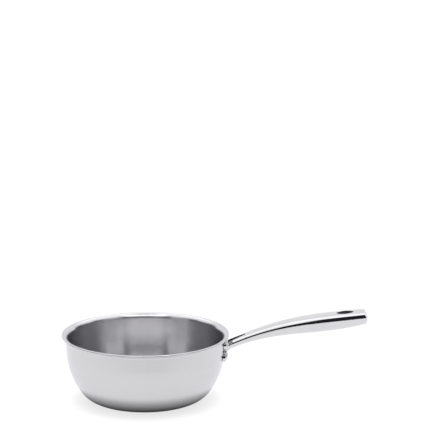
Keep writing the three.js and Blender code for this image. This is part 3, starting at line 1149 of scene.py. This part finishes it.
@dataclass(frozen=True)
class Rivets:
    """Two rivets through foot and wall, each with a wide low head inside and a smaller tail outside."""

    bowl: Bowl
    foot: Foot
    from_foot_edge: float = 0.0085
    shank_radius: float = 0.0026
    head_radius: float = 0.0056
    head_height: float = 0.002
    tail_radius: float = 0.0042
    tail_height: float = 0.0013
    brim: float = 0.0003
    sunk: float = 0.0001
    sides: int = 64
    dome_rings: int = 14
    crease: float = 60.0

    def profile(self) -> np.ndarray:
        """Profile from the head's crown to the tail's: two elliptical domes on brims, joined by the shank.

        Returns:
            Array of (radius, height) points; height 0 is the wall's outer face.
        """
        dome = np.linspace(0, math.pi / 2, self.dome_rings)
        inside = -self.bowl.sheet
        outside = self.foot.gap + self.foot.thickness
        head = np.stack([
            self.head_radius * np.sin(dome),
            inside - self.brim - (self.head_height - self.brim) * np.cos(dome),
        ], -1)
        tail = np.stack([
            self.tail_radius * np.cos(dome),
            outside + self.brim + (self.tail_height - self.brim) * np.sin(dome),
        ], -1)
        joint = np.array([
            [self.head_radius, inside + self.sunk],
            [self.shank_radius, inside + self.sunk],
            [self.shank_radius, outside - self.sunk],
            [self.tail_radius, outside - self.sunk],
        ])
        return np.concatenate([head, joint, tail])

    def build(self, finishes: "Finishes") -> None:
        """Makes both rivets, turned to the wall's normal.

        Args:
            finishes: The materials.
        """
        height = self.foot.top - self.foot.tall + self.foot.rivet_above_end
        radius = float(self.bowl.radius_at(np.array(height)))
        turn = math.acos((self.bowl.side_centre[1] - height) / self.bowl.side_radius)
        swing = math.asin((self.foot.lobe_width / 2 - self.from_foot_edge) / radius)
        points, faces = lathe(self.profile(), self.sides)
        for name, node, side in (("left_rivet", "rivet_left", 1), ("right_rivet", "rivet_right", -1)):
            normal = np.array([math.sin(turn), 0.0, -math.cos(turn)])
            sideways = np.array([0.0, 1.0, 0.0])
            axes = np.stack([np.cross(sideways, normal), sideways, normal])
            cos, sin = math.cos(side * swing), math.sin(side * swing)
            round_bowl = np.array([[cos, sin, 0.0], [-sin, cos, 0.0], [0.0, 0.0, 1.0]])
            placed = (points @ axes + np.array([radius, 0.0, height])) @ round_bowl
            piece = make_piece(name, placed, faces, crease=self.crease)
            dress(piece, finishes.rivet, node)


class Finishes:
    """The materials of the pan."""

    def __init__(self) -> None:
        """Builds each finish once."""
        marks = SurfaceMarks()
        outer = BrushedSteel("Satin outside", 0.66, 0.69, 0.24, 0.03, 0.5, 900.0, 0.12, 1.0)
        inner = BrushedSteel("Brushed inside", 0.74, 0.76, 0.24, 0.015, 0.9, 700.0, 0.04, 0.85)
        self.outer = outer.material(marks)
        self.inner = inner.material(marks)
        self.core = PolishedMetal("Bare aluminium edge", 0.85, 0.3, 0.1).material(marks)
        # Dark tone for the groove: painted shade in the recess, not a finish of the casting.
        self.groove = PolishedMetal("Groove painted shade", 0.14, 0.3, 0.1).material(marks)
        # Dark tone for the sleeve: painted shade inside the hole.
        self.lining = PolishedMetal("Hole sleeve painted shade", 0.4, 0.25, 0.1).material(marks)
        self.polished = PolishedMetal("Mirror steel", 0.7, 0.03, 0.03).material(marks)
        self.rivet = PolishedMetal("Rivet steel", 0.72, 0.14, 0.08).material(marks)


@dataclass(frozen=True)
class Card:
    """A light card far off, with its mirror image, by heading from the front and lift in degrees."""

    near: float
    far: float
    low: float
    high: float
    soft: float
    strength: float

    def light(self, graph: Graph, heading: object, lift: object) -> bpy.types.NodeSocket:
        """Its strength where the direction meets it, eased off over its soft edges.

        Args:
            graph: The world's graph.
            heading: Socket of the direction's angle from the front, to either side, in degrees.
            lift: Socket of its angle above level, in degrees.

        Returns:
            Socket of the light.
        """
        light = self.strength
        for value, first, last in ((heading, self.near, self.far), (lift, self.low, self.high)):
            rise = graph.ramp(value, first - self.soft, first + self.soft)
            fall = graph.ramp(value, last - self.soft, last + self.soft, 1.0, 0.0)
            light = graph.math("MULTIPLY", graph.math("MULTIPLY", light, rise), fall)
        return light


@dataclass(frozen=True)
class Studio:
    """The white floor, the dark room and its cards."""

    dark: float = 0.02
    dark_tint: tuple[float, float, float] = (0.95, 0.9, 1.1)
    floor_glow: float = 0.95
    floor_albedo: float = 0.12
    floor_reach: float = 60.0
    table_front: float = -0.5
    contact: float = 0.02
    contact_depth: float = 1.6
    shadow_seen: float = 0.2
    back_wall: Card = Card(128.0, 200.0, -100.0, 36.0, 3.0, 0.95)
    ring: Card = Card(46.0, 200.0, 36.0, 52.0, 4.0, 1.0)
    ring_back: Card = Card(132.0, 200.0, 36.0, 52.0, 4.0, 0.45)
    overhead: Card = Card(40.0, 200.0, 52.0, 80.0, 5.0, 1.1)
    overhead_back: Card = Card(115.0, 200.0, 52.0, 80.0, 5.0, 0.25)
    front_windows: Card = Card(36.0, 67.0, 12.0, 23.0, 3.0, 0.8)
    side_strips: Card = Card(92.0, 128.0, 23.0, 36.0, 3.0, 0.9)

    @property
    def cards(self) -> tuple[Card, ...]:
        """The cards, whose light adds up where they overlap."""
        bright = (self.back_wall, self.ring, self.ring_back, self.overhead, self.overhead_back)
        return bright + (self.front_windows, self.side_strips)

    def light(self) -> None:
        """Builds the world: the cards for light and reflections, plain white for the camera."""
        world = bpy.data.worlds.new("Studio")
        bpy.context.scene.world = world
        world.use_nodes = True
        graph = Graph(world.node_tree)
        x, y, z = graph.node("SeparateXYZ", {0: graph.node("TexCoord").outputs["Generated"]}).outputs
        front = graph.math("MULTIPLY", y, -1.0)
        heading = graph.math("DEGREES", graph.math("ARCTAN2", graph.math("ABSOLUTE", x), front))
        lift = graph.math("DEGREES", graph.math("ARCSINE", z))
        total = 0.0
        for card in self.cards:
            total = graph.math("ADD", total, card.light(graph, heading, lift))
        shades = (graph.math("ADD", total, self.dark * share) for share in self.dark_tint)
        colour = graph.node("CombineColor", dict(enumerate(shades)))
        room = graph.node("Background", {"Color": colour.outputs[0]})
        white = graph.node("Background", {"Color": (1.0, 1.0, 1.0, 1.0)})
        seen = graph.node("LightPath").outputs["Is Camera Ray"]
        both = graph.node("MixShader", {0: seen, 1: room.outputs[0], 2: white.outputs[0]})
        graph.node("OutputWorld", {0: both.outputs[0]})

    def lay_floor(self) -> None:
        """Lays the floor, whose own white is added only for camera, glossy and clear rays.

        That white is darkened near the pan by how much of the sky the pan hides, raised to a power. The
        camera sees a small share of this shade, and reflections see all of it.
        """
        far, front = self.floor_reach, self.table_front
        corners = [(-far, front, 0.0), (far, front, 0.0), (far, far, 0.0), (-far, far, 0.0)]
        mesh = bpy.data.meshes.new("floor")
        mesh.from_pydata(corners, [], [(0, 1, 2, 3)])
        add_object("floor", mesh)
        paint, graph = new_material("White table")
        path = graph.node("LightPath")
        seen = graph.math("MAXIMUM", path.outputs["Is Camera Ray"], path.outputs["Is Glossy Ray"])
        seen = graph.math("MAXIMUM", seen, path.outputs["Is Transmission Ray"])
        shade = graph.node("AmbientOcclusion", {"Distance": self.contact}).outputs["AO"]
        shade = graph.math("POWER", shade, self.contact_depth)
        faint = graph.math("MULTIPLY", path.outputs["Is Camera Ray"], 1.0 - self.shadow_seen)
        shade = graph.node("Mix", {0: faint, 2: shade, 3: 1.0}, data_type="FLOAT").outputs[0]
        strength = graph.math("MULTIPLY", graph.math("MULTIPLY", seen, shade), self.floor_glow)
        glow = graph.node("Emission", {"Strength": strength})
        albedo = (self.floor_albedo,) * 3 + (1.0,)
        matt = graph.node("BsdfDiffuse", {"Color": albedo})
        both = graph.node("AddShader", {0: matt.outputs[0], 1: glow.outputs[0]})
        graph.node("OutputMaterial", {0: both.outputs[0]})
        mesh.materials.append(paint)

    def build(self) -> None:
        """Builds the studio."""
        self.light()
        self.lay_floor()
        bpy.context.scene.view_settings.view_transform = "Standard"


@dataclass(frozen=True)
class Softbox:
    """A lamp that faces the pan and is flagged off all but some of its pieces."""

    centre: tuple[float, float, float]
    width: float
    height: float
    radiance: float
    pieces: tuple[str, ...]

    def build(self) -> None:
        """Hangs the lamp; an area lamp's power is pi times its radiance times its area."""
        data = bpy.data.lights.new("softbox", "AREA")
        data.shape = "RECTANGLE"
        data.size, data.size_y = self.width, self.height
        data.energy = math.pi * self.radiance * self.width * self.height
        lamp = add_object("softbox", data)
        lamp.location = self.centre
        lamp.rotation_euler = Vector(self.centre).to_track_quat("Z", "Y").to_euler()
        lamp.visible_camera = False
        receivers = bpy.data.collections.new("softbox receivers")
        for name in self.pieces:
            receivers.objects.link(bpy.data.objects[name])
        lamp.light_linking.receiver_collection = receivers


BOWL_PIECES = ("outer_skin", "core_sheet", "inner_skin")
HANDLE_PIECES = ("hole_sleeve", "grip_crown", "grip_belly", "cast_foot")
SOFTBOXES = (
    Softbox((0.0, -0.74, 1.49), 1.3, 1.0, 2.0, BOWL_PIECES),
    Softbox((-2.0, 0.1, 0.75), 2.2, 1.3, 0.8, HANDLE_PIECES),
    Softbox((2.0, 0.1, 0.75), 2.2, 1.3, 0.8, HANDLE_PIECES),
)


@dataclass(frozen=True)
class Viewpoint:
    """The photograph's camera: a long lens, level, looking a little down on the bowl."""

    frame_pixels: float = 430.0
    rim_pixel: tuple[float, float] = (145.476, 334.012)
    target_height: float = 0.0825
    distance: float = 2.5
    azimuth: float = 0.6
    elevation: float = 15.3193
    lens: float = 168.34
    sensor: float = 36.0
    sight: float = 200.0

    def build(self) -> None:
        """Places the camera so that the rim's centre falls on its pixel with no roll.

        With the pixel at (right, up) in units of the focal length, the camera's dip p solves
        sin p - up * cos p = sin(elevation) * sqrt(1 + right ** 2 + up ** 2). Its heading differs from the
        target's by the angle whose tangent is right / (cos p + up * sin p).
        """
        focal = self.frame_pixels * self.lens / self.sensor
        right = (self.rim_pixel[0] - self.frame_pixels / 2) / focal
        up = (self.frame_pixels / 2 - self.rim_pixel[1]) / focal
        raised, heading = math.radians(self.elevation), math.radians(self.azimuth)
        level = math.cos(raised)
        back = Vector((math.sin(heading) * level, -math.cos(heading) * level, math.sin(raised)))
        rise = math.sin(raised) * math.sqrt(1 + right**2 + up**2)
        dip = math.asin(rise / math.hypot(1, up)) + math.atan(up)
        swing = math.atan2(right, math.cos(dip) + up * math.sin(dip))
        data = bpy.data.cameras.new("camera")
        data.lens = self.lens
        data.sensor_width = self.sensor
        data.clip_end = self.sight
        camera = add_object("camera", data)
        camera.location = Vector((0.0, 0.0, self.target_height)) + self.distance * back
        turn = Matrix.Rotation(heading + swing, 4, "Z") @ Matrix.Rotation(math.pi / 2 - dip, 4, "X")
        camera.rotation_euler = turn.to_euler()
        bpy.context.scene.camera = camera


def main() -> None:
    """Builds the view, the studio and the pan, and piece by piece."""
    logging.basicConfig(level=logging.INFO, format="%(name)s: %(message)s")
    Viewpoint().build()
    Studio().build()
    finishes = Finishes()
    bowl = Bowl()
    bowl.build(finishes)
    root_height = bowl.rim_height - HANDLE_BELOW_RIM
    form = HandleForm((float(bowl.radius_at(np.array(root_height))) + HANDLE_SEAT, root_height))
    hole = HangingHole(form)
    hole.build(finishes)
    Grip(form, hole).build(finishes)
    foot = Foot(form, bowl)
    foot.build(finishes)
    Rivets(bowl, foot).build(finishes)
    for softbox in SOFTBOXES:
        softbox.build()


if __name__ == "__main__":
    main()
